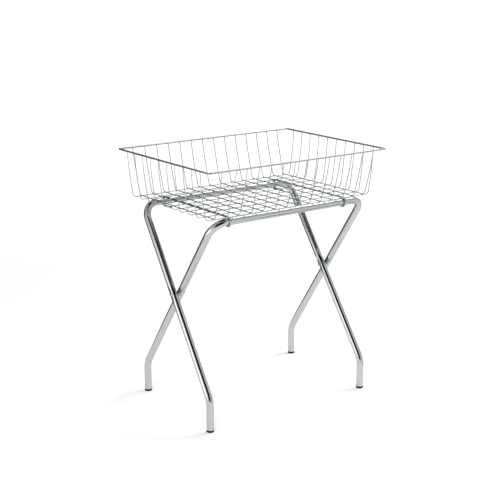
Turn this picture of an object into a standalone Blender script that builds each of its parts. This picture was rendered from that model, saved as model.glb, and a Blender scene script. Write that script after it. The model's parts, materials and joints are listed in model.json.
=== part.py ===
"""A folding stand of two crossed tube frames with a tapered wire basket hooked over its rails.

Metres, +Z up. The origin is on the floor, under the middle of the basket. X runs along the rails
and Y from the front rail to the rear one. Each frame is one bent tube: a rail, two corner bends,
two slanting legs and two upright feet. The front rail's legs run to the rear feet and the rear
rail's legs to the front feet, and the two frames turn on two rivets where the legs cross.
"""

from math import cos, pi, radians, sin, tan

import bpy
from mathutils import Matrix, Vector

GAP = 0.0003

# The tube frames
TUBE_RADIUS = 0.011
TUBE_WALL = 0.0012
STAND_X = 0.007
RAIL_SPAN = 0.574
FOOT_SPAN = 0.592
FRAME_SHIFT = 0.0117
RAIL_Y = 0.174
RAIL_HEIGHT = 0.628
FOOT_Y = 0.196
KNEE_HEIGHT = 0.098
CORNER_BEND = 0.052
KNEE_BEND = 0.060
PINCH = 0.10
PINCH_WIDENING = 0.06
PINCH_FLAT = 0.012
PINCH_FADE = 0.022

# The foot plugs
FLANGE_RADIUS = 0.0115
FLANGE_HEIGHT = 0.006
PLUG_LENGTH = 0.022
PLUG_GAP = 0.00045

# The pivots
RIVET_RADIUS = 0.003
RIVET_HEAD_RADIUS = 0.0062
RIVET_HEAD_HEIGHT = 0.0026
WASHER_RADIUS = 0.008

# The basket
RIM_LENGTH = 0.660
RIM_WIDTH = 0.496
RIM_HEIGHT = 0.794
RIM_RADIUS = 0.00275
RIM_CORNER = 0.007
FLOOR_LENGTH = 0.616
FLOOR_WIDTH = 0.412
WIRE_RADIUS = 0.0014
WIRE_BEND = 0.012
WALL_BOW = 0.0022
WALL_STEPS = 3
CROSS_WIRES = 14
CROSS_PITCH = 0.0435
LONG_WIRES = 10
LONG_PITCH = 0.0444
LONG_SHIFT = 0.004
LEANING_WIRE = 2
LEAN = 0.010

# The two support wires under the basket
SUPPORT_RADIUS = 0.00275
SUPPORT_XS = {"left": -0.2155, "right": 0.2215}
HOOK_GAP = 0.0004
HOOK_TIP = 0.008
HOOK_TAIL = 0.045

# Sizes that follow from the ones above
PIVOT_SHARE = FOOT_Y / (FOOT_Y + RAIL_Y)
PIVOT_HEIGHT = KNEE_HEIGHT + (RAIL_HEIGHT - KNEE_HEIGHT) * PIVOT_SHARE
PIVOT_SPAN = FOOT_SPAN + (RAIL_SPAN - FOOT_SPAN) * PIVOT_SHARE
FLAT_THICKNESS = TUBE_RADIUS * (1 - PINCH)
RIVET_REACH = FRAME_SHIFT + FLAT_THICKNESS + GAP
WASHER_HALF = FRAME_SHIFT - FLAT_THICKNESS - GAP
HOOK_RADIUS = TUBE_RADIUS + HOOK_GAP + SUPPORT_RADIUS
SUPPORT_HEIGHT = RAIL_HEIGHT + HOOK_RADIUS
LONG_HEIGHT = SUPPORT_HEIGHT + SUPPORT_RADIUS + GAP + WIRE_RADIUS
CROSS_HEIGHT = LONG_HEIGHT + 2 * WIRE_RADIUS + GAP
WIRE_INSET = RIM_RADIUS + GAP + WIRE_RADIUS

TUBE_SIDES = 4
WIRE_SIDES = 2
ROUND_STEPS = 16


def clear_scene():
    for obj in list(bpy.data.objects):
        bpy.data.objects.remove(obj)


def new_collection(name):
    collection = bpy.data.collections.new(name)
    bpy.context.scene.collection.children.link(collection)
    return collection


def make_material(name, colour, roughness, metallic):
    material = bpy.data.materials.new(name)
    material.use_nodes = True
    shader = material.node_tree.nodes["Principled BSDF"]
    shader.inputs["Base Color"].default_value = (*colour, 1)
    shader.inputs["Roughness"].default_value = roughness
    shader.inputs["Metallic"].default_value = metallic
    return material


def add_empty(name, place, collection):
    """An empty on a joint's axis, which the moving pieces hang from."""
    empty = bpy.data.objects.new(name, None)
    empty.location = place
    empty.empty_display_size = 0.05
    collection.objects.link(empty)
    return empty


def attach(obj, parent):
    """Parents the object and keeps it where it is."""
    bpy.context.view_layer.update()
    obj.parent = parent
    obj.matrix_parent_inverse = parent.matrix_world.inverted()


def fillet(before, corner, after, radius, steps):
    """Points along the arc that rounds a corner."""
    entry = (before - corner).normalized()
    leave = (after - corner).normalized()
    turn = pi - entry.angle(leave)
    reach = radius * tan(turn / 2)
    centre = corner + (entry + leave).normalized() * (radius / cos(turn / 2))
    start = corner + entry * reach - centre
    axis = start.cross(corner + leave * reach - centre).normalized()
    return [centre + Matrix.Rotation(turn * i / steps, 3, axis) @ start for i in range(steps + 1)]


def add_curve(name, points, radius, sides, material, collection, closed=False, caps=True):
    """A round bar or tube along a polyline."""
    data = bpy.data.curves.new(name, "CURVE")
    data.dimensions = "3D"
    data.bevel_depth = radius
    data.bevel_resolution = sides
    data.use_fill_caps = caps and not closed
    spline = data.splines.new("POLY")
    spline.points.add(len(points) - 1)
    for point, place in zip(spline.points, points):
        point.co = (*place, 1)
    spline.use_cyclic_u = closed
    spline.use_smooth = True
    data.materials.append(material)
    obj = bpy.data.objects.new(name, data)
    collection.objects.link(obj)
    return obj


def curve_to_mesh(curve):
    """A mesh object in the place of the curve object."""
    bpy.context.view_layer.update()
    graph = bpy.context.evaluated_depsgraph_get()
    mesh = bpy.data.meshes.new_from_object(curve.evaluated_get(graph))
    name = curve.name
    obj = bpy.data.objects.new(name, mesh)
    obj.matrix_world = curve.matrix_world
    curve.users_collection[0].objects.link(obj)
    bpy.data.objects.remove(curve)
    obj.name = name
    return obj


def turned(name, profile, place, axis, material, collection, closed=False):
    """A turned piece: its profile of (radius, height) runs down the outer side, round `axis`."""
    mesh = bpy.data.meshes.new(name)
    count = len(profile)
    edges = [(i, (i + 1) % count) for i in range(count if closed else count - 1)]
    mesh.from_pydata([(radius, 0, height) for radius, height in profile], edges, [])
    mesh.materials.append(material)
    obj = bpy.data.objects.new(name, mesh)
    obj.location = place
    obj.rotation_euler = Vector(axis).to_track_quat("Z", "Y").to_euler()
    collection.objects.link(obj)
    screw = obj.modifiers.new("Turn", "SCREW")
    screw.steps = ROUND_STEPS
    screw.render_steps = ROUND_STEPS
    screw.use_merge_vertices = True
    screw.merge_threshold = 0.00001
    screw.use_smooth_shade = True
    return obj


def leg_line(side, end, middle_x):
    """The knee and the corner of one leg, which leans a little toward the frame's middle."""
    knee = Vector((middle_x + end * FOOT_SPAN / 2, -side * FOOT_Y, KNEE_HEIGHT))
    corner = Vector((middle_x + end * RAIL_SPAN / 2, side * RAIL_Y, RAIL_HEIGHT))
    return knee, corner


def frame_path(side, middle_x):
    """The centre line of one frame. side is 1 for the rear rail and -1 for the front rail."""
    rail_middle = Vector((middle_x, side * RAIL_Y, RAIL_HEIGHT))
    path = []
    for end in (-1, 1):
        knee, corner = leg_line(side, end, middle_x)
        pivot = knee.lerp(corner, PIVOT_SHARE)
        foot = Vector((knee.x, knee.y, FLANGE_HEIGHT + GAP))
        along = (corner - knee).normalized()
        reach = PINCH_FLAT + PINCH_FADE
        pinched = [pivot + along * reach * i / 6 for i in range(-6, 7)]
        half = [foot]
        half += fillet(foot, knee, corner, KNEE_BEND, 5)
        half += pinched
        half += fillet(knee, corner, rail_middle, CORNER_BEND, 8)
        path += half if end < 0 else half[::-1]
    return path


def pinch_legs(obj, side, middle_x):
    """Flattens both legs where they cross the other frame's, and widens them a little there."""
    for vertex in obj.data.vertices:
        knee, corner = leg_line(side, 1 if vertex.co.x > middle_x else -1, middle_x)
        along = (corner - knee).normalized()
        across = Vector((1, 0, 0)).cross(along)
        pivot = knee.lerp(corner, PIVOT_SHARE)
        offset = vertex.co - pivot
        distance = offset.dot(along)
        offset -= along * distance
        fade = min(1, max(0, (abs(distance) - PINCH_FLAT) / PINCH_FADE))
        weight = 1 - fade * fade * (3 - 2 * fade)
        vertex.co.x -= offset.x * PINCH * weight
        vertex.co += across * offset.dot(across) * PINCH_WIDENING * weight


def drill(obj, place, radius, length, cutters):
    """A hole along X, cut by a hidden cylinder."""
    profile = [(0, length / 2), (radius, length / 2), (radius, -length / 2), (0, -length / 2)]
    cutter = turned(obj.name + "_drill", profile, place, (1, 0, 0), obj.data.materials[0], cutters)
    cutter.hide_render = True
    cutter.display_type = "WIRE"
    cut = obj.modifiers.new("Rivet hole", "BOOLEAN")
    cut.object = cutter
    cut.operation = "DIFFERENCE"
    cut.solver = "EXACT"


def add_frame(name, side, middle_x, material, collection, cutters):
    """One frame: a hollow bent tube with a rivet hole through each leg."""
    path = frame_path(side, middle_x)
    curve = add_curve(name, path, TUBE_RADIUS, TUBE_SIDES, material, collection, caps=False)
    frame = curve_to_mesh(curve)
    pinch_legs(frame, side, middle_x)
    wall = frame.modifiers.new("Tube wall", "SOLIDIFY")
    wall.thickness = TUBE_WALL
    wall.offset = -1
    for end in (-1, 1):
        place = (middle_x + end * PIVOT_SPAN / 2, 0, PIVOT_HEIGHT)
        drill(frame, place, RIVET_RADIUS + GAP, 4 * TUBE_RADIUS, cutters)
    return frame


def add_foot_plug(name, x, y, material, collection):
    """A plug pushed into the tube's end, with a flange that stands on the floor."""
    stem = TUBE_RADIUS - TUBE_WALL - PLUG_GAP
    base = FLANGE_RADIUS - 0.0016
    profile = [
        (0, FLANGE_HEIGHT + PLUG_LENGTH),
        (stem - 0.0012, FLANGE_HEIGHT + PLUG_LENGTH),
        (stem, FLANGE_HEIGHT + PLUG_LENGTH - 0.0025),
        (stem, FLANGE_HEIGHT),
        (FLANGE_RADIUS - 0.0006, FLANGE_HEIGHT),
        (FLANGE_RADIUS, FLANGE_HEIGHT - 0.0006),
        (FLANGE_RADIUS, 0.0016),
        (FLANGE_RADIUS - 0.0005, 0.0005),
        (base, 0),
        (0, 0),
    ]
    return turned(name, profile, (x, y, 0), (0, 0, 1), material, collection)


def dome(radius, height, base, steps=4):
    """The profile of a low domed head, from its crown out to its edge."""
    return [
        (radius * sin(pi / 2 * i / steps), base + height * cos(pi / 2 * i / steps))
        for i in range(steps + 1)
    ]


def add_rivet(name, x, material, collection):
    """A rivet through both legs, with a low domed head at each end."""
    head = dome(RIVET_HEAD_RADIUS, RIVET_HEAD_HEIGHT, RIVET_REACH)
    upper = head + [(RIVET_RADIUS, RIVET_REACH)]
    profile = upper + [(radius, -height) for radius, height in reversed(upper)]
    return turned(name, profile, (x, 0, PIVOT_HEIGHT), (1, 0, 0), material, collection)


def add_washer(name, x, material, collection):
    """The spacing washer between two crossing legs."""
    bore = RIVET_RADIUS + GAP
    profile = [
        (bore, WASHER_HALF),
        (WASHER_RADIUS, WASHER_HALF),
        (WASHER_RADIUS, -WASHER_HALF),
        (bore, -WASHER_HALF),
    ]
    return turned(name, profile, (x, 0, PIVOT_HEIGHT), (1, 0, 0), material, collection, closed=True)


def add_rim(material, collection):
    """The thick wire round the top of the basket."""
    signs = [(-1, -1), (1, -1), (1, 1), (-1, 1)]
    corners = [Vector((i * RIM_LENGTH / 2, j * RIM_WIDTH / 2, RIM_HEIGHT)) for i, j in signs]
    path = []
    for i in range(4):
        path += fillet(corners[i - 1], corners[i], corners[(i + 1) % 4], RIM_CORNER, 4)
    return add_curve("rim_wire", path, RIM_RADIUS, WIRE_SIDES, material, collection, closed=True)


def wall_points(top, bend_end, outward):
    """Points down one wall from the rim to the bend at the floor. The wall bows outward a little."""
    points = []
    for i in range(WALL_STEPS):
        t = i / WALL_STEPS
        points.append(top.lerp(bend_end, t) + outward * WALL_BOW * 4 * t * (1 - t))
    return points


def wire_path(floor_half, top_half, height, along, offset):
    """A wire down one wall of the basket, along its floor and up the other wall.

    It runs along the unit vector `along`, and `offset` is its place across that.
    """
    up = Vector((0, 0, 1))
    corners = [
        offset - along * top_half + up * RIM_HEIGHT,
        offset - along * floor_half + up * height,
        offset + along * floor_half + up * height,
        offset + along * top_half + up * RIM_HEIGHT,
    ]
    first_bend = fillet(corners[0], corners[1], corners[2], WIRE_BEND, 4)
    second_bend = fillet(corners[1], corners[2], corners[3], WIRE_BEND, 4)
    first_wall = wall_points(corners[0], first_bend[0], -along)
    second_wall = wall_points(corners[3], second_bend[-1], along)
    return first_wall + first_bend + second_bend + second_wall[::-1]


def lean_front_end(path):
    """Bends the front end of a wire sideways, most at the rim and hardly at all lower down."""
    for i in range(WALL_STEPS):
        path[i].x += LEAN * (1 - i / WALL_STEPS) ** 4


def add_basket_wires(material, collection):
    """The cross wires lie on the long wires, and both sets end inside the rim."""
    wires = []
    across, along = Vector((0, 1, 0)), Vector((1, 0, 0))
    for i in range(CROSS_WIRES):
        offset = along * (i - (CROSS_WIRES - 1) / 2) * CROSS_PITCH
        top_half = RIM_WIDTH / 2 - WIRE_INSET
        path = wire_path(FLOOR_WIDTH / 2, top_half, CROSS_HEIGHT, across, offset)
        if i + 1 == LEANING_WIRE:
            lean_front_end(path)
        name = f"cross_wire_{i + 1:02d}"
        wires.append(add_curve(name, path, WIRE_RADIUS, WIRE_SIDES, material, collection))
    for i in range(LONG_WIRES):
        offset = across * ((i - (LONG_WIRES - 1) / 2) * LONG_PITCH + LONG_SHIFT)
        top_half = RIM_LENGTH / 2 - WIRE_INSET
        path = wire_path(FLOOR_LENGTH / 2, top_half, LONG_HEIGHT, along, offset)
        name = f"long_wire_{i + 1:02d}"
        wires.append(add_curve(name, path, WIRE_RADIUS, WIRE_SIDES, material, collection))
    return wires


def hook_arc(y, start_angle, end_angle, x, steps=10):
    """An arc round a rail, from one angle to the other, in degrees up from +Y."""
    angles = [radians(start_angle + (end_angle - start_angle) * i / steps) for i in range(steps + 1)]
    return [
        Vector((x, y + HOOK_RADIUS * cos(a), RAIL_HEIGHT + HOOK_RADIUS * sin(a))) for a in angles
    ]


def add_support(name, x, material, collection):
    """A support wire: a tail under the rear rail, round it, across, and hooked round the front rail."""
    below = RAIL_HEIGHT - HOOK_RADIUS
    path = [Vector((x, RAIL_Y - HOOK_TAIL, below))]
    path += hook_arc(RAIL_Y, -90, 90, x)
    path += hook_arc(-RAIL_Y, 90, 270, x)
    path.append(Vector((x, -RAIL_Y + HOOK_TIP, below)))
    return add_curve(name, path, SUPPORT_RADIUS, WIRE_SIDES, material, collection)


def main():
    clear_scene()
    collection = new_collection("folding_basket_stand")
    cutters = new_collection("cutters")
    tube_chrome = make_material("tube_chrome", (0.54, 0.56, 0.57), 0.05, 1.0)
    wire_chrome = make_material("wire_chrome", (0.52, 0.54, 0.55), 0.10, 1.0)
    rivet_steel = make_material("rivet_steel", (0.47, 0.48, 0.49), 0.25, 1.0)
    black_plastic = make_material("black_plastic", (0.01, 0.01, 0.01), 0.50, 0.0)

    fold_axis = add_empty("fold_axis", (0, 0, PIVOT_HEIGHT), collection)
    tilt_axis = add_empty("tilt_axis", (0, RAIL_Y, RAIL_HEIGHT), collection)

    frames = {"rear": (1, STAND_X - FRAME_SHIFT), "front": (-1, STAND_X + FRAME_SHIFT)}
    for rail, (side, middle_x) in frames.items():
        pieces = [
            add_frame(f"{rail}_rail_frame", side, middle_x, tube_chrome, collection, cutters)
        ]
        for end, hand in ((-1, "left"), (1, "right")):
            x = middle_x + end * FOOT_SPAN / 2
            name = f"foot_plug_{'front' if side > 0 else 'rear'}_{hand}"
            pieces.append(add_foot_plug(name, x, -side * FOOT_Y, black_plastic, collection))
        if side < 0:
            for piece in pieces:
                attach(piece, fold_axis)

    for end, hand in ((-1, "left"), (1, "right")):
        x = STAND_X + end * PIVOT_SPAN / 2
        add_rivet(f"pivot_rivet_{hand}", x, rivet_steel, collection)
        add_washer(f"pivot_washer_{hand}", x, rivet_steel, collection)

    basket = [add_rim(wire_chrome, collection)]
    basket += add_basket_wires(wire_chrome, collection)
    for hand, x in SUPPORT_XS.items():
        basket.append(add_support(f"support_wire_{hand}", x, wire_chrome, collection))
    for piece in basket:
        attach(piece, tilt_axis)


main()
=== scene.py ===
"""The looks of a folding basket stand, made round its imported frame.

Metres, in the frame's own axes: +Z up, X along the rails, Y from the front rail to the rear one.
Each CAD node gets a finer piece that follows the same line, and the basket gets its welds.
"""

import json
from math import cos, pi, radians, sin, tan
from random import Random

import bmesh
import bpy
from mathutils import Matrix, Quaternion, Vector


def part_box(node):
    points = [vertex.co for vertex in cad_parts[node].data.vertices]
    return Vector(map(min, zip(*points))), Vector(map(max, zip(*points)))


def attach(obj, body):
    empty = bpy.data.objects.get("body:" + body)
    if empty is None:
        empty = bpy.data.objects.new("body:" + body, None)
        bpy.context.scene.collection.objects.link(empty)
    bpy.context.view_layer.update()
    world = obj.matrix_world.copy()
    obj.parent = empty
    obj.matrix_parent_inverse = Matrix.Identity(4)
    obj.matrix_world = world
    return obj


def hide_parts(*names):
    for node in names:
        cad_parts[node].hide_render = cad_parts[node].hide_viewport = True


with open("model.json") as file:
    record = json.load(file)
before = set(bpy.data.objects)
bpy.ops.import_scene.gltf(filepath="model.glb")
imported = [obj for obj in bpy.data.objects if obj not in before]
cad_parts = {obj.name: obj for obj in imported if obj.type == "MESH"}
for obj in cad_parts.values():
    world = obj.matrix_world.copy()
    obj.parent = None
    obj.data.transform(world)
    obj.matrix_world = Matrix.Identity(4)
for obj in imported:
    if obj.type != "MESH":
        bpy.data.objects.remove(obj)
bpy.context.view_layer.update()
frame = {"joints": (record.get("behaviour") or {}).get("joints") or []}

JOINTS = {joint["name"]: joint for joint in frame["joints"]}
HANDS = ("left", "right")
UP = Vector((0, 0, 1))
ALONG_X = Vector((1, 0, 0))
ALONG_Y = Vector((0, 1, 0))

# The tube frames
TUBE_RADIUS = 0.011
TUBE_WALL = 0.0012
TUBE_SIDES = 48
RAIL_SPAN = 0.574
CORNER_BEND = 0.052
KNEE_BEND = 0.060
BEND_STEPS = 24
SWEPT_SHARP = 50
PRESS_DEPTH = 0.0011
PRESS_FLAT = 0.012
PRESS_FADE = 0.022
PRESS_STEPS = 28
END_STEPS = 4

# The pivots and the foot plugs
TURNED_STEPS = 64
TURNED_SHARP = 35
MERGE = 0.000001
CLEARANCE = 0.0003
RIVET_RADIUS = 0.003
RIVET_HEAD_HEIGHT = 0.0026
RIVET_EDGE = 0.0006
RIVET_SEAT_EDGE = 0.00024
RIVET_STEPS = 12
TAIL_HOLE = 0.0022
TAIL_HOLE_EDGE = 0.0006
TAIL_HOLE_TAPER = 0.8
TAIL_ROLL_STEPS = 10
WASHER_EDGE = 0.0004
WASHER_BORE_EDGE = 0.0002
FLANGE_HEIGHT = 0.006
FLANGE_TOP_EDGE = 0.0006
FLANGE_FOOT_EDGE = 0.0015
STEM_CHAMFER = 0.001
STEM_RIBS = 4
STEM_RIB = 0.0007
SOLE_RECESS = 0.0052
SOLE_DEPTH = 0.0005

# The basket
RIM_CORNER = 0.007
FLOOR_LENGTH = 0.616
FLOOR_WIDTH = 0.412
WIRE_SIDES = 16
WIRE_BEND = 0.012
WIRE_BEND_STEPS = 10
WALL_BOW = 0.0022
WALL_STEPS = 10
LEANING_WIRE = 2
LEAN = 0.010
LEAN_FADE = 4
CROSS_WIRES = 14
LONG_WIRES = 10
WIRE_END_EDGE = 0.0003
SUPPORT_SIDES = 24
SUPPORT_END_EDGE = 0.0006
HOOK_STEPS = 24
HOOK_TIP = 0.008
HOOK_TAIL = 0.045
RIM_SIDES = 24
RIM_WELD_Y = 0.03
RIM_WELD_LENGTH = 0.0025
RIM_WELD_BULGE = 0.0004
RIM_WELD_STEPS = 4

# The welds: widths and thickness are shares of the wire's radius, drop and length are shares of
# the weld's width, and the turn is in radians
WELD_WIDTH = 1.15
WELD_THICKNESS = 0.75
WELD_DROP = 1.2
SUPPORT_WELD_WIDTH = 0.8
SUPPORT_WELD_LENGTH = 1.3
WELD_UNEVEN = (0.9, 1.12)
WELD_TURN = 0.3
WELD_SEGMENTS = 14
WELD_RINGS = 8

# The surfaces: a scale is how often a pattern repeats in a metre, a shade multiplies the colour,
# and waves, lumps, marks and grain are heights of bumps
WAVE_SCALE = 55.0
TUBE_WAVES = 0.00003
WIRE_WAVES = 0.00001
DRAW_LINES = (6, 1400, 1)
DRAW_HEIGHT = 0.0000004
PATCH_SCALE = 23.0
PATCH_SHADE = 0.93
PATCH_ROUGHNESS = (0.7, 1.5)
# Painted shade: how far the chrome's reflections are darkened toward its outlines
PAINTED_EDGE_SHADE = 0.5
WELD_SCALE = 900.0
WELD_LUMPS = 0.00012
RIVET_SCALE = 700.0
RIVET_MARKS = 0.00002
GRAIN_SCALE = 2600.0
PLASTIC_GRAIN = 0.00003
SCUFF_SCALE = 260.0
SCUFF_SHADE = 2.2
PLASTIC_SHINE = 0.03

# The stage: the horizon's top and the overhead's start are heights on a sphere of radius 1
STAGE_MIDDLE = Vector((0, 0, 0.45))
FLOOR_SIDE = 200.0
FLOOR_COLOUR = (0.82, 0.82, 0.82)
FLOOR_ROUGHNESS = (0.75, 0.85)
FLOOR_MOTTLE = 1.5
FLOOR_NEAR = 1.2
FLOOR_FAR = 4.0
FLOOR_GLOW_NEAR = 0.18
FLOOR_GLOW_FAR = 0.60
HORIZON_LIGHT = 0.78
HORIZON_TOP = 0.6
OVERHEAD_LIGHT = 0.50
OVERHEAD_START = 0.9
CARD_LIFT = 0.002
UNDER_RAILS = 0.61
UNDER_CARD_DEPTH = 0.27

# The camera
CAMERA_AIM = Vector((0.0046, 0.0186, 0.4658))
CAMERA_AZIMUTH = -36.229
CAMERA_ELEVATION = 15.062
CAMERA_ROLL = -0.122
CAMERA_DISTANCE = 3.6321
CAMERA_LENS = 82.29


def middle(node):
    """The middle of a CAD node's box."""
    low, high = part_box(node)
    return (low + high) / 2


PIVOT_HEIGHT = JOINTS["stand_fold"]["pos_m"][2]
RAIL_Y, RAIL_HEIGHT = JOINTS["basket_tilt"]["pos_m"][1:]
FOOT_Y = middle("foot_plug_rear_left").y
LEG_SHARE = FOOT_Y / (FOOT_Y + RAIL_Y)
KNEE_HEIGHT = (PIVOT_HEIGHT - RAIL_HEIGHT * LEG_SHARE) / (1 - LEG_SHARE)
TUBE_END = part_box("rear_rail_frame")[0].z
RIM_LOW, RIM_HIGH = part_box("rim_wire")
RIM_RADIUS = (RIM_HIGH.z - RIM_LOW.z) / 2
RIM_HEIGHT = (RIM_HIGH.z + RIM_LOW.z) / 2
WIRE_RADIUS = (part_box("cross_wire_01")[1].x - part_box("cross_wire_01")[0].x) / 2
SUPPORT_RADIUS = (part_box("support_wire_left")[1].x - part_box("support_wire_left")[0].x) / 2
HOOK_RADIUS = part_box("support_wire_left")[1].z - SUPPORT_RADIUS - RAIL_HEIGHT


# ---------------------------------------------------------------- shapes

def fillet(before, corner, after, radius, steps):
    """Points along the arc that rounds a corner."""
    entry = (before - corner).normalized()
    leave = (after - corner).normalized()
    turn = pi - entry.angle(leave)
    reach = radius * tan(turn / 2)
    centre = corner + (entry + leave).normalized() * (radius / cos(turn / 2))
    start = corner + entry * reach - centre
    axis = start.cross(corner + leave * reach - centre).normalized()
    return [centre + Matrix.Rotation(turn * i / steps, 3, axis) @ start for i in range(steps + 1)]


def place_mesh(mesh, material, body, slot, *nodes):
    """Makes the mesh a piece that rides on a body and stands for CAD nodes."""
    mesh.materials.append(material)
    piece = bpy.data.objects.new(mesh.name, mesh)
    bpy.context.scene.collection.objects.link(piece)
    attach(piece, body)
    if nodes:
        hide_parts(*nodes)
    return piece


def finished_mesh(name, mesh, sharp_angle=None):
    """The bmesh as mesh data, with its edges sharp past an angle in degrees."""
    data = bpy.data.meshes.new(name)
    mesh.to_mesh(data)
    mesh.free()
    if sharp_angle:
        data.set_sharp_from_angle(angle=radians(sharp_angle))
    return data


def path_tangents(path, closed):
    """The direction of the path at each of its points."""
    count = len(path)
    tangents = []
    for i in range(count):
        if closed:
            before, after = path[i - 1], path[(i + 1) % count]
        else:
            before, after = path[max(i - 1, 0)], path[min(i + 1, count - 1)]
        tangents.append((after - before).normalized())
    return tangents


def sweep(name, path, radii, sides, side, closed=False, capped=True):
    """A round bar along a path, with one radius for each of the path's points.

    `side` is where the first ring starts. Its UV map holds the length along the bar and the way
    round it, both in metres.
    """
    tangents = path_tangents(path, closed)
    mesh = bmesh.new()
    uv_map = mesh.loops.layers.uv.new("wrap")
    rings, lengths, length = [], [], 0.0
    for i, (centre, tangent, radius) in enumerate(zip(path, tangents, radii)):
        if i:
            side = tangents[i - 1].rotation_difference(tangent) @ side
            length += (centre - path[i - 1]).length
        side = (side - tangent * side.dot(tangent)).normalized()
        across = tangent.cross(side)
        turns = [2 * pi * k / sides for k in range(sides)]
        rings.append(
            [mesh.verts.new(centre + (side * cos(a) + across * sin(a)) * radius) for a in turns]
        )
        lengths.append(length)
    if closed:
        rings.append(rings[0])
        lengths.append(length + (path[0] - path[-1]).length)
    girth = 2 * pi * max(radii)
    for i in range(len(rings) - 1):
        for k in range(sides):
            n = (k + 1) % sides
            face = mesh.faces.new((rings[i][k], rings[i][n], rings[i + 1][n], rings[i + 1][k]))
            face.smooth = True
            spots = ((i, k), (i, k + 1), (i + 1, k + 1), (i + 1, k))
            for loop, (ring, step) in zip(face.loops, spots):
                loop[uv_map].uv = (lengths[ring], girth * step / sides)
    if capped and not closed:
        mesh.faces.new(reversed(rings[0]))
        mesh.faces.new(rings[-1])
    return finished_mesh(name, mesh, SWEPT_SHARP)


def rounded_ends(path, radius, edge):
    """The path and its radii, with the edge of both cut ends rounded by `edge`."""
    head = (path[1] - path[0]).normalized()
    tail = (path[-2] - path[-1]).normalized()
    angles = [pi / 2 * i / END_STEPS for i in range(END_STEPS)]
    depths = [edge * (1 - cos(a)) for a in angles]
    rims = [radius - edge * (1 - sin(a)) for a in angles]
    starts = [path[0] + head * depth for depth in depths]
    stops = [path[-1] + tail * depth for depth in reversed(depths)]
    body = [path[0] + head * edge] + path[1:-1] + [path[-1] + tail * edge]
    return starts + body + stops, rims + [radius] * len(body) + rims[::-1]


def turned(name, profile, place, axis, closed=False):
    """A turned piece. Its profile of (radius, height) runs round `axis` through `place`."""
    mesh = bmesh.new()
    corners = [mesh.verts.new((radius, 0, height)) for radius, height in profile]
    edges = [mesh.edges.new(pair) for pair in zip(corners, corners[1:])]
    if closed:
        edges.append(mesh.edges.new((corners[-1], corners[0])))
    bmesh.ops.spin(
        mesh,
        geom=corners + edges,
        cent=(0, 0, 0),
        axis=(0, 0, 1),
        angle=2 * pi,
        steps=TURNED_STEPS,
        use_merge=True,
    )
    bmesh.ops.remove_doubles(mesh, verts=mesh.verts, dist=MERGE)
    bmesh.ops.recalc_face_normals(mesh, faces=mesh.faces)
    turn = Vector(axis).to_track_quat("Z", "Y").to_matrix().to_4x4()
    bmesh.ops.transform(mesh, matrix=Matrix.Translation(place) @ turn, verts=mesh.verts)
    for face in mesh.faces:
        face.smooth = True
    return finished_mesh(name, mesh, TURNED_SHARP)


def edge_arc(radius, height, round_radius, start, end, steps=5):
    """A rounded edge of a turned profile, from one angle to another, in degrees."""
    angles = [radians(start + (end - start) * i / steps) for i in range(steps + 1)]
    return [(radius + round_radius * cos(a), height + round_radius * sin(a)) for a in angles]


# ---------------------------------------------------------------- materials

def add_node(tree, kind, inputs, **settings):
    """A shader node, with its inputs linked or set."""
    made = tree.nodes.new(kind)
    for name, value in settings.items():
        setattr(made, name, value)
    for name, value in inputs.items():
        if isinstance(value, bpy.types.NodeSocket):
            tree.links.new(value, made.inputs[name])
        else:
            made.inputs[name].default_value = value
    return made


def noise(tree, place, scale, detail=2.0, stretch=(1, 1, 1)):
    """Noise from 0 to 1 over a place, stretched along its axes."""
    mapped = add_node(tree, "ShaderNodeMapping", {"Vector": place, "Scale": stretch})
    inputs = {"Vector": mapped.outputs["Vector"], "Scale": scale, "Detail": detail}
    return add_node(tree, "ShaderNodeTexNoise", inputs).outputs["Fac"]


def spread(tree, value, low, high):
    """Spreads noise, most of which is from 0.25 to 0.75, between two values."""
    inputs = {"Value": value, "From Min": 0.25, "From Max": 0.75, "To Min": low, "To Max": high}
    return add_node(tree, "ShaderNodeMapRange", inputs).outputs["Result"]


def bump(tree, height, distance, normal=None):
    """A normal bumped by a pattern that is `distance` high, over another normal if there is one."""
    inputs = {"Height": height, "Distance": distance, "Strength": 1.0}
    if normal:
        inputs["Normal"] = normal
    return add_node(tree, "ShaderNodeBump", inputs).outputs["Normal"]


def new_material(name):
    """A material, its node tree and its shader."""
    material = bpy.data.materials.new(name)
    material.use_nodes = True
    tree = material.node_tree
    return material, tree, tree.nodes["Principled BSDF"]


def add_colour(tree, shader, factor, colour, shade):
    """The shader's colour, from plain to shaded (multiplied) where the factor goes from 0 to 1."""
    mixed = tree.nodes.new("ShaderNodeMix")
    mixed.data_type = "RGBA"
    sockets = {socket.name: socket for socket in mixed.inputs if socket.enabled}
    tree.links.new(factor, sockets["Factor"])
    sockets["A"].default_value = (*colour, 1)
    sockets["B"].default_value = (*(channel * shade for channel in colour), 1)
    result = next(socket for socket in mixed.outputs if socket.enabled)
    tree.links.new(result, shader.inputs["Base Color"])


def make_chrome(name, colour, roughness, wave_height):
    """Plated bar: slow waves in the plating, fine lines drawn along it, a few duller patches, and
    painted shade: its reflections darkened toward the outlines.
    """
    material, tree, shader = new_material(name)
    place = add_node(tree, "ShaderNodeTexCoord", {}).outputs["Object"]
    wrap = add_node(tree, "ShaderNodeUVMap", {}, uv_map="wrap").outputs["UV"]
    waves = noise(tree, place, WAVE_SCALE)
    drawn = noise(tree, wrap, 1.0, 3.0, DRAW_LINES)
    patches = noise(tree, place, PATCH_SCALE, 4.0)
    shaped = bump(tree, drawn, DRAW_HEIGHT, bump(tree, waves, wave_height))
    rough = spread(tree, patches, *(roughness * share for share in PATCH_ROUGHNESS))
    add_colour(tree, shader, patches, colour, PATCH_SHADE)
    tree.links.new(rough, shader.inputs["Roughness"])
    tree.links.new(shaped, shader.inputs["Normal"])
    shader.inputs["Metallic"].default_value = 1.0
    # Painted shade: the reflections go darker toward the bar's outlines
    shader.inputs["Specular Tint"].default_value = (PAINTED_EDGE_SHADE, PAINTED_EDGE_SHADE, PAINTED_EDGE_SHADE, 1)
    return material


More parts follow.
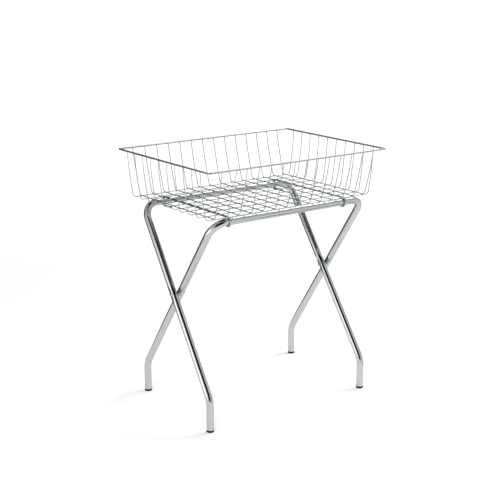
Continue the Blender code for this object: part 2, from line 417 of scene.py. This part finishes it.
def make_rough_metal(name, colour, shade, pattern, height, roughness):
    """Plated metal that isn't smooth: lumpy welds, or steel marked by the press that formed it."""
    material, tree, shader = new_material(name)
    place = add_node(tree, "ShaderNodeTexCoord", {}).outputs["Object"]
    marks = noise(tree, place, *pattern)
    tree.links.new(bump(tree, marks, height), shader.inputs["Normal"])
    tree.links.new(spread(tree, marks, *roughness), shader.inputs["Roughness"])
    add_colour(tree, shader, marks, colour, shade)
    shader.inputs["Metallic"].default_value = 1.0
    return material


def make_plastic(name, colour, roughness):
    """Black moulded plastic with a fine grain, scuffed grey in places."""
    material, tree, shader = new_material(name)
    place = add_node(tree, "ShaderNodeTexCoord", {}).outputs["Object"]
    grain = noise(tree, place, GRAIN_SCALE, 3.0)
    scuffs = noise(tree, place, SCUFF_SCALE, 5.0)
    tree.links.new(bump(tree, grain, PLASTIC_GRAIN), shader.inputs["Normal"])
    tree.links.new(spread(tree, scuffs, *roughness), shader.inputs["Roughness"])
    add_colour(tree, shader, scuffs, colour, SCUFF_SHADE)
    shader.inputs["Specular IOR Level"].default_value = PLASTIC_SHINE
    return material


# ---------------------------------------------------------------- the tube frames

def leg_lines(foot, rail_y):
    """The knee and the corner of a frame's left and right legs, which lean toward its middle."""
    plugs = [middle(f"foot_plug_{foot}_{hand}") for hand in HANDS]
    middle_x = (plugs[0].x + plugs[1].x) / 2
    lines = []
    for end, plug in zip((-1, 1), plugs):
        knee = Vector((plug.x, plug.y, KNEE_HEIGHT))
        corner = Vector((middle_x + end * RAIL_SPAN / 2, rail_y, RAIL_HEIGHT))
        lines.append((knee, corner))
    return lines


def frame_path(legs):
    """The centre line of one frame, from its left foot over its rail to its right foot."""
    rail_middle = (legs[0][1] + legs[1][1]) / 2
    halves = []
    for knee, corner in legs:
        pivot = knee.lerp(corner, LEG_SHARE)
        foot = Vector((knee.x, knee.y, TUBE_END))
        step = (corner - knee).normalized() * (PRESS_FLAT + PRESS_FADE) / PRESS_STEPS
        half = [foot]
        half += fillet(foot, knee, corner, KNEE_BEND, BEND_STEPS)
        half += [pivot + step * i for i in range(-PRESS_STEPS, PRESS_STEPS + 1)]
        half += fillet(knee, corner, rail_middle, CORNER_BEND, BEND_STEPS)
        halves.append(half)
    return halves[0] + halves[1][::-1]


def press_legs(mesh, legs):
    """Presses a flat on both sides of each leg where the rivet goes through it."""
    middle_x = (legs[0][0].x + legs[1][0].x) / 2
    for vertex in mesh.vertices:
        knee, corner = legs[vertex.co.x > middle_x]
        along = (corner - knee).normalized()
        pivot = knee.lerp(corner, LEG_SHARE)
        distance = (vertex.co - pivot).dot(along)
        centre = pivot + along * distance
        fade = min(1, max(0, (abs(distance) - PRESS_FLAT) / PRESS_FADE))
        limit = TUBE_RADIUS - PRESS_DEPTH * (1 - fade * fade * (3 - 2 * fade))
        offset = vertex.co.x - centre.x
        if fade < 1 and abs(offset) > limit:
            vertex.co.x = centre.x + (limit if offset > 0 else -limit)


def apply_modifiers(piece):
    """Makes the piece's mesh what its modifiers show."""
    bpy.context.view_layer.update()
    graph = bpy.context.evaluated_depsgraph_get()
    mesh = bpy.data.meshes.new_from_object(piece.evaluated_get(graph))
    piece.modifiers.clear()
    piece.data = mesh


def drill(piece, place, radius, length):
    """Cuts a round hole along X."""
    profile = [(0, length / 2), (radius, length / 2), (radius, -length / 2), (0, -length / 2)]
    mesh = turned("drill", profile, place, ALONG_X)
    cutter = bpy.data.objects.new("drill", mesh)
    bpy.context.scene.collection.objects.link(cutter)
    cut = piece.modifiers.new("Hole", "BOOLEAN")
    cut.object = cutter
    cut.operation = "DIFFERENCE"
    apply_modifiers(piece)
    bpy.data.objects.remove(cutter)


def add_frame(rail, body, foot, rail_y, material):
    """One frame: a hollow bent tube with a rivet hole through each leg."""
    legs = leg_lines(foot, rail_y)
    path = frame_path(legs)
    radii = [TUBE_RADIUS] * len(path)
    mesh = sweep(f"{rail}_rail_tube", path, radii, TUBE_SIDES, ALONG_X, capped=False)
    press_legs(mesh, legs)
    piece = place_mesh(mesh, material, body, "tube", f"{rail}_rail_frame")
    wall = piece.modifiers.new("Tube wall", "SOLIDIFY")
    wall.thickness = TUBE_WALL
    wall.offset = -1
    apply_modifiers(piece)
    for knee, corner in legs:
        drill(piece, knee.lerp(corner, LEG_SHARE), RIVET_RADIUS + CLEARANCE, 4 * TUBE_RADIUS)
    piece.data.set_sharp_from_angle(angle=radians(SWEPT_SHARP))


def add_foot_plug(foot, hand, body, material):
    """A moulded plug: a flange on the floor and a ribbed stem inside the tube."""
    node = f"foot_plug_{foot}_{hand}"
    low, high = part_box(node)
    flange = (high.x - low.x) / 2
    stem = TUBE_RADIUS - TUBE_WALL - CLEARANCE
    core = stem - STEM_RIB
    profile = [(0, high.z), (core - STEM_CHAMFER, high.z), (core, high.z - STEM_CHAMFER)]
    rib_pitch = (high.z - FLANGE_HEIGHT) / (STEM_RIBS + 1)
    for i in range(STEM_RIBS, 0, -1):
        height = FLANGE_HEIGHT + i * rib_pitch
        profile += [(core, height + STEM_RIB), (stem, height), (core, height - STEM_RIB)]
    profile.append((core, FLANGE_HEIGHT))
    top, foot_edge = FLANGE_TOP_EDGE, FLANGE_FOOT_EDGE
    profile += edge_arc(flange - top, FLANGE_HEIGHT - top, top, 90, 0)
    profile += edge_arc(flange - foot_edge, foot_edge, foot_edge, 0, -90)
    profile += [(SOLE_RECESS, 0), (SOLE_RECESS - SOLE_DEPTH, SOLE_DEPTH), (0, SOLE_DEPTH)]
    mesh = turned(f"{foot}_{hand}_foot", profile, (middle(node).x, middle(node).y, 0), UP)
    place_mesh(mesh, material, body, "foot_plug", node)


def add_rivet(hand, material):
    """A rivet through both legs: a domed head outside and a rolled tail inside."""
    node = f"pivot_rivet_{hand}"
    low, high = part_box(node)
    reach = (high.x - low.x) / 2
    seat = reach - RIVET_HEAD_HEIGHT
    head = (high.z - low.z) / 2
    dome = RIVET_HEAD_HEIGHT - RIVET_EDGE
    angles = [pi / 2 * i / RIVET_STEPS for i in range(RIVET_STEPS + 1)]
    profile = [(head * sin(a), seat + RIVET_EDGE + dome * cos(a)) for a in angles]
    profile += [(head, seat + RIVET_SEAT_EDGE), (head - RIVET_SEAT_EDGE, seat)]
    profile += [(RIVET_RADIUS, seat), (RIVET_RADIUS, -seat)]
    roll = RIVET_HEAD_HEIGHT / 2
    profile += edge_arc(head - roll, -seat - roll, roll, 90, -90, TAIL_ROLL_STEPS)
    profile += [(TAIL_HOLE + TAIL_HOLE_EDGE, -reach), (TAIL_HOLE, TAIL_HOLE_EDGE - reach)]
    profile += [(TAIL_HOLE * TAIL_HOLE_TAPER, -seat), (0, -seat)]
    outward = Vector((middle(node).x, 0, 0)).normalized()
    mesh = turned(f"{hand}_rivet", profile, middle(node), outward)
    place_mesh(mesh, material, "rear_frame", "pivot", node)


def add_washer(hand, material):
    """The spacing washer between two crossing legs."""
    node = f"pivot_washer_{hand}"
    low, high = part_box(node)
    half = (high.x - low.x) / 2
    rim = (high.z - low.z) / 2 - WASHER_EDGE
    bore = RIVET_RADIUS + CLEARANCE
    profile = edge_arc(rim, half - WASHER_EDGE, WASHER_EDGE, 90, 0)
    profile += edge_arc(rim, WASHER_EDGE - half, WASHER_EDGE, 0, -90)
    profile += [(bore + WASHER_BORE_EDGE, -half), (bore, WASHER_BORE_EDGE - half)]
    profile += [(bore, half - WASHER_BORE_EDGE), (bore + WASHER_BORE_EDGE, half)]
    mesh = turned(f"{hand}_washer", profile, middle(node), ALONG_X, closed=True)
    place_mesh(mesh, material, "rear_frame", "pivot", node)


# ---------------------------------------------------------------- the basket

def add_rim(material):
    """The thick wire round the top, closed by a butt weld on its left side."""
    signs = [(-1, -1), (1, -1), (1, 1), (-1, 1)]
    corners = [
        Vector((i * (RIM_HIGH.x - RIM_RADIUS), j * (RIM_HIGH.y - RIM_RADIUS), RIM_HEIGHT))
        for i, j in signs
    ]
    path = []
    for i in range(4):
        after = corners[(i + 1) % 4]
        path += fillet(corners[i - 1], corners[i], after, RIM_CORNER, WIRE_BEND_STEPS)
    radii = [RIM_RADIUS] * len(path)
    weld = Vector((corners[0].x, RIM_WELD_Y, RIM_HEIGHT))
    shares = [i / RIM_WELD_STEPS for i in range(-RIM_WELD_STEPS, RIM_WELD_STEPS + 1)]
    path += [weld - ALONG_Y * (RIM_WELD_LENGTH * share) for share in shares]
    radii += [RIM_RADIUS + RIM_WELD_BULGE * (cos(pi * share) + 1) / 2 for share in shares]
    mesh = sweep("rim", path, radii, RIM_SIDES, UP, closed=True)
    place_mesh(mesh, material, "basket", "rim", "rim_wire")


def wall_points(top, bend_end, outward):
    """Points down one wall from the rim to the bend. It bows outward, most at half its height."""
    points = []
    for i in range(WALL_STEPS):
        t = i / WALL_STEPS
        points.append(top.lerp(bend_end, t) + outward * WALL_BOW * 4 * t * (1 - t))
    return points


def wire_path(floor_half, top_half, height, along, offset):
    """A wire down one wall of the basket, along its floor and up the other wall."""
    corners = [
        offset - along * top_half + UP * RIM_HEIGHT,
        offset - along * floor_half + UP * height,
        offset + along * floor_half + UP * height,
        offset + along * top_half + UP * RIM_HEIGHT,
    ]
    first_bend = fillet(*corners[:3], WIRE_BEND, WIRE_BEND_STEPS)
    second_bend = fillet(*corners[1:], WIRE_BEND, WIRE_BEND_STEPS)
    first_wall = wall_points(corners[0], first_bend[0], -along)
    second_wall = wall_points(corners[3], second_bend[-1], along)
    return first_wall + first_bend + second_bend + second_wall[::-1]


def add_wire(name, path, node, material, side):
    """One thin wire of the basket, with its ends cut square and their edges rounded."""
    path, radii = rounded_ends(path, WIRE_RADIUS, WIRE_END_EDGE)
    mesh = sweep(name, path, radii, WIRE_SIDES, side)
    place_mesh(mesh, material, "basket", "basket_wire", node)


def add_cross_wires(material):
    """The wires from front to back. One of them leans at the front rim."""
    for i in range(CROSS_WIRES):
        node = f"cross_wire_{i + 1:02d}"
        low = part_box(node)[0]
        offset = ALONG_X * (low.x + WIRE_RADIUS)
        top_half = RIM_HIGH.y - 2 * RIM_RADIUS - CLEARANCE - WIRE_RADIUS
        path = wire_path(FLOOR_WIDTH / 2, top_half, low.z + WIRE_RADIUS, ALONG_Y, offset)
        if i + 1 == LEANING_WIRE:
            for j in range(WALL_STEPS):
                path[j].x += LEAN * (1 - j / WALL_STEPS) ** LEAN_FADE
        add_wire(f"front_to_back_wire_{i + 1:02d}", path, node, material, ALONG_X)


def add_long_wires(material):
    """The wires from left to right, under the others."""
    for i in range(LONG_WIRES):
        node = f"long_wire_{i + 1:02d}"
        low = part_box(node)[0]
        offset = ALONG_Y * (low.y + WIRE_RADIUS)
        top_half = RIM_HIGH.x - 2 * RIM_RADIUS - CLEARANCE - WIRE_RADIUS
        path = wire_path(FLOOR_LENGTH / 2, top_half, low.z + WIRE_RADIUS, ALONG_X, offset)
        add_wire(f"left_to_right_wire_{i + 1:02d}", path, node, material, ALONG_Y)


def hook_arc(y, start, end, x):
    """An arc round a rail, from one angle to the other, in degrees up from +Y."""
    angles = [radians(start + (end - start) * i / HOOK_STEPS) for i in range(HOOK_STEPS + 1)]
    return [
        Vector((x, y + HOOK_RADIUS * cos(a), RAIL_HEIGHT + HOOK_RADIUS * sin(a))) for a in angles
    ]


def add_support(hand, material):
    """A support wire: from a tail round the rear rail, across, and hooked round the front rail."""
    node = f"support_wire_{hand}"
    x = middle(node).x
    below = RAIL_HEIGHT - HOOK_RADIUS
    path = [Vector((x, RAIL_Y - HOOK_TAIL, below))]
    path += hook_arc(RAIL_Y, -90, 90, x)
    path += hook_arc(-RAIL_Y, 90, 270, x)
    path.append(Vector((x, -RAIL_Y + HOOK_TIP, below)))
    path, radii = rounded_ends(path, SUPPORT_RADIUS, SUPPORT_END_EDGE)
    mesh = sweep(f"{hand}_support", path, radii, SUPPORT_SIDES, ALONG_X)
    place_mesh(mesh, material, "basket", "support_wire", node)


def add_welds(name, spots, material, slot):
    """Flattened nuggets of weld metal, each a little different. A spot is its place and size."""
    random = Random(name)
    mesh = bmesh.new()
    for place, size in spots:
        turn = Matrix.Rotation(random.uniform(-WELD_TURN, WELD_TURN), 4, UP)
        uneven = [random.uniform(*WELD_UNEVEN) * length for length in size]
        bmesh.ops.create_uvsphere(
            mesh,
            u_segments=WELD_SEGMENTS,
            v_segments=WELD_RINGS,
            radius=1,
            matrix=Matrix.Translation(place) @ turn @ Matrix.Diagonal((*uneven, 1)),
        )
    for face in mesh.faces:
        face.smooth = True
    place_mesh(finished_mesh(name, mesh), material, "basket", slot)


def add_all_welds(material):
    """The welds where wires cross, where they meet the rim and on the support wires."""
    crosses = [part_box(f"cross_wire_{i + 1:02d}")[0] for i in range(CROSS_WIRES)]
    longs = [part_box(f"long_wire_{i + 1:02d}")[0] for i in range(LONG_WIRES)]
    cross_xs = [low.x + WIRE_RADIUS for low in crosses]
    long_ys = [low.y + WIRE_RADIUS for low in longs]
    support_xs = [middle(f"support_wire_{hand}").x for hand in HANDS]
    wide, thick = WIRE_RADIUS * WELD_WIDTH, WIRE_RADIUS * WELD_THICKNESS

    height = (longs[0].z + crosses[0].z) / 2 + WIRE_RADIUS
    size = (wide, wide, thick)
    floor = [(Vector((x, y, height)), size) for x in cross_xs for y in long_ys]
    add_welds("floor_welds", floor, material, "basket_wire")

    height = (longs[0].z + RAIL_HEIGHT + HOOK_RADIUS + SUPPORT_RADIUS) / 2
    size = (SUPPORT_RADIUS * SUPPORT_WELD_WIDTH, wide * SUPPORT_WELD_LENGTH, thick)
    props = [(Vector((x, y, height)), size) for x in support_xs for y in long_ys]
    add_welds("support_welds", props, material, "support_wire")

    height, tall = RIM_HEIGHT - thick, wide * WELD_DROP
    rim = []
    for side in (-1, 1):
        y = side * (RIM_HIGH.y - 2 * RIM_RADIUS)
        for i, x in enumerate(cross_xs):
            lean = LEAN if side < 0 and i + 1 == LEANING_WIRE else 0
            rim.append((Vector((x + lean, y, height)), (wide, thick, tall)))
        x = side * (RIM_HIGH.x - 2 * RIM_RADIUS)
        rim += [(Vector((x, y, height)), (thick, wide, tall)) for y in long_ys]
    add_welds("rim_welds", rim, material, "rim")


# ---------------------------------------------------------------- the stage

def toward(azimuth, elevation):
    """The unit vector from the object toward a place round it. Azimuth 0 is in front of it."""
    a, e = radians(azimuth), radians(elevation)
    return Vector((sin(a) * cos(e), -cos(a) * cos(e), sin(e)))


def around(azimuth, elevation, distance):
    """A place round the middle of the stage, and its direction from there."""
    direction = toward(azimuth, elevation)
    return STAGE_MIDDLE + direction * distance, direction


def put(obj, place, back, roll=0):
    """Puts a light, a card or the camera at a place, with its back in the direction given."""
    bpy.context.scene.collection.objects.link(obj)
    obj.location = place
    obj.rotation_mode = "QUATERNION"
    obj.rotation_quaternion = back.to_track_quat("Z", "Y") @ Quaternion(UP, radians(roll))


def add_camera():
    camera = bpy.data.objects.new("camera", bpy.data.cameras.new("camera"))
    back = toward(CAMERA_AZIMUTH, CAMERA_ELEVATION)
    put(camera, CAMERA_AIM + back * CAMERA_DISTANCE, back, CAMERA_ROLL)
    camera.data.lens = CAMERA_LENS
    bpy.context.scene.camera = camera


def add_softbox(name, where, size, radiance, reflected=True):
    """A soft area light. Its power follows from how bright its face looks."""
    data = bpy.data.lights.new(name, "AREA")
    data.shape = "RECTANGLE"
    data.size, data.size_y = size
    data.energy = radiance * pi * data.size * data.size_y
    light = bpy.data.objects.new(name, data)
    put(light, *around(*where))
    light.visible_camera = False
    light.visible_glossy = reflected


def flat_mesh(name, size, material):
    """A flat rectangle, for a card or the floor."""
    mesh = bmesh.new()
    bmesh.ops.create_grid(mesh, x_segments=1, y_segments=1, size=0.5)
    bmesh.ops.scale(mesh, vec=(*size, 1), verts=mesh.verts)
    data = finished_mesh(name, mesh)
    data.materials.append(material)
    return bpy.data.objects.new(name, data)


def add_card(name, place, back, size, material):
    """A dark card that only reflections see."""
    card = flat_mesh(name, size, material)
    put(card, place, back)
    card.visible_camera = False
    card.visible_diffuse = False
    card.visible_shadow = False
    card.visible_transmission = False


def add_floor():
    """A pale floor that glows a little, more so far away, where it runs into the white backdrop."""
    material, tree, shader = new_material("pale_floor")
    place = add_node(tree, "ShaderNodeTexCoord", {}).outputs["Object"]
    rough = spread(tree, noise(tree, place, FLOOR_MOTTLE), *FLOOR_ROUGHNESS)
    tree.links.new(rough, shader.inputs["Roughness"])
    shader.inputs["Base Color"].default_value = (*FLOOR_COLOUR, 1)
    shader.inputs["Specular IOR Level"].default_value = 0.0
    shader.inputs["Emission Color"].default_value = (1, 1, 1, 1)
    away = add_node(tree, "ShaderNodeVectorMath", {0: place}, operation="LENGTH").outputs["Value"]
    inputs = {
        "Value": away,
        "From Min": FLOOR_NEAR,
        "From Max": FLOOR_FAR,
        "To Min": FLOOR_GLOW_NEAR,
        "To Max": FLOOR_GLOW_FAR,
    }
    glow = add_node(tree, "ShaderNodeMapRange", inputs, interpolation_type="SMOOTHSTEP")
    tree.links.new(glow.outputs["Result"], shader.inputs["Emission Strength"])
    floor = flat_mesh("floor", (FLOOR_SIDE, FLOOR_SIDE), material)
    bpy.context.scene.collection.objects.link(floor)


def add_world():
    """A white backdrop, which reflections see as a dim studio, darker overhead."""
    world = bpy.data.worlds.new("studio")
    bpy.context.scene.world = world
    world.use_nodes = True
    tree = world.node_tree
    direction = add_node(tree, "ShaderNodeTexCoord", {}).outputs["Generated"]
    height = add_node(tree, "ShaderNodeSeparateXYZ", {"Vector": direction}).outputs["Z"]
    inputs = {
        "Value": height,
        "From Min": HORIZON_TOP,
        "From Max": OVERHEAD_START,
        "To Min": HORIZON_LIGHT,
        "To Max": OVERHEAD_LIGHT,
    }
    level = add_node(tree, "ShaderNodeMapRange", inputs).outputs["Result"]
    studio = tree.nodes["Background"]
    tree.links.new(level, studio.inputs["Strength"])
    studio.inputs["Color"].default_value = (1, 1, 1, 1)
    plain = add_node(tree, "ShaderNodeBackground", {"Color": (1, 1, 1, 1), "Strength": 1.0})
    camera_ray = add_node(tree, "ShaderNodeLightPath", {}).outputs["Is Camera Ray"]
    mixed = add_node(tree, "ShaderNodeMixShader", {"Fac": camera_ray})
    tree.links.new(studio.outputs["Background"], mixed.inputs[1])
    tree.links.new(plain.outputs["Background"], mixed.inputs[2])
    tree.links.new(mixed.outputs["Shader"], tree.nodes["World Output"].inputs["Surface"])


def make_card(name, level):
    """A plain grey for cards, from 0 for black to 1 for white."""
    material, _, shader = new_material(name)
    shader.inputs["Base Color"].default_value = (level, level, level, 1)
    shader.inputs["Specular IOR Level"].default_value = 0
    return material


def add_lights():
    """The soft boxes, each with its azimuth, elevation and distance, and its width and height."""
    add_softbox("right_softbox", (106, 54, 2.2), (1.4, 1.2), radiance=2.6)
    add_softbox("key", (83, 50, 2.6), (0.8, 0.8), radiance=12, reflected=False)
    add_softbox("left_softbox", (-86, 6, 2.4), (1.2, 1.2), radiance=1.45)
    add_softbox("fill", (-57, 45, 2.6), (0.8, 0.8), radiance=6.5, reflected=False)


def add_cards():
    """The dark cards that the tubes and wires reflect: round the camera, overhead, behind the
    stand, on the floor and under the rails."""
    black = make_card("black_card", 0.0)
    shade = make_card("shade_card", 0.12)
    dark = make_card("dark_card", 0.15)
    grey = make_card("grey_card", 0.5)
    add_card("front_card", *around(-22, 43, 2.4), (2.6, 1.2), black)
    add_card("camera_card", *around(-22, 22, 2.3), (2.2, 1.9), black)
    add_card("zenith_card", Vector((0.4, 0.25, 2.6)), UP, (1.9, 2.0), black)
    add_card("back_card", Vector((0, 1.5, 0.95)), ALONG_Y, (4.0, 1.9), dark)
    add_card("rear_card", Vector((-0.3, 1.2, CARD_LIFT)), UP, (3.6, 0.6), dark)
    add_card("right_card", Vector((1.0, -1.0, CARD_LIFT)), UP, (1.2, 1.2), grey)
    # The cards under the rails are painted shade: dark sheets standing in for the shade under the
    # basket, seen only in reflections
    for hand, x, width in (("left", -0.15, 0.24), ("right", 0.42, 0.2)):
        place = Vector((x, -0.015, UNDER_RAILS))
        add_card(f"{hand}_painted_shade_card", place, UP, (width, UNDER_CARD_DEPTH), shade)


def add_stage():
    add_camera()
    add_floor()
    add_world()
    add_lights()
    add_cards()
    bpy.context.scene.view_settings.view_transform = "Standard"


def main():
    tube_chrome = make_chrome("tube_chrome", (0.54, 0.565, 0.57), 0.05, TUBE_WAVES)
    wire_chrome = make_chrome("wire_chrome", (0.49, 0.51, 0.515), 0.10, WIRE_WAVES)
    rim_chrome = make_chrome("rim_chrome", (0.49, 0.51, 0.515), 0.08, WIRE_WAVES)
    support_chrome = make_chrome("support_chrome", (0.50, 0.52, 0.525), 0.09, WIRE_WAVES)
    weld_metal = make_rough_metal(
        "weld_metal", (0.46, 0.47, 0.47), 0.75, (WELD_SCALE, 3.0), WELD_LUMPS, (0.22, 0.42)
    )
    rivet_steel = make_rough_metal(
        "rivet_steel", (0.47, 0.48, 0.49), 0.82, (RIVET_SCALE, 4.0), RIVET_MARKS, (0.18, 0.34)
    )
    black_plastic = make_plastic("black_plastic", (0.004, 0.004, 0.0045), (0.38, 0.62))

    add_frame("rear", "rear_frame", "front", RAIL_Y, tube_chrome)
    add_frame("front", "front_frame", "rear", -RAIL_Y, tube_chrome)
    for hand in HANDS:
        add_foot_plug("front", hand, "rear_frame", black_plastic)
        add_foot_plug("rear", hand, "front_frame", black_plastic)
        add_rivet(hand, rivet_steel)
        add_washer(hand, rivet_steel)
        add_support(hand, support_chrome)
    add_rim(rim_chrome)
    add_cross_wires(wire_chrome)
    add_long_wires(wire_chrome)
    add_all_welds(weld_metal)
    add_stage()


main()
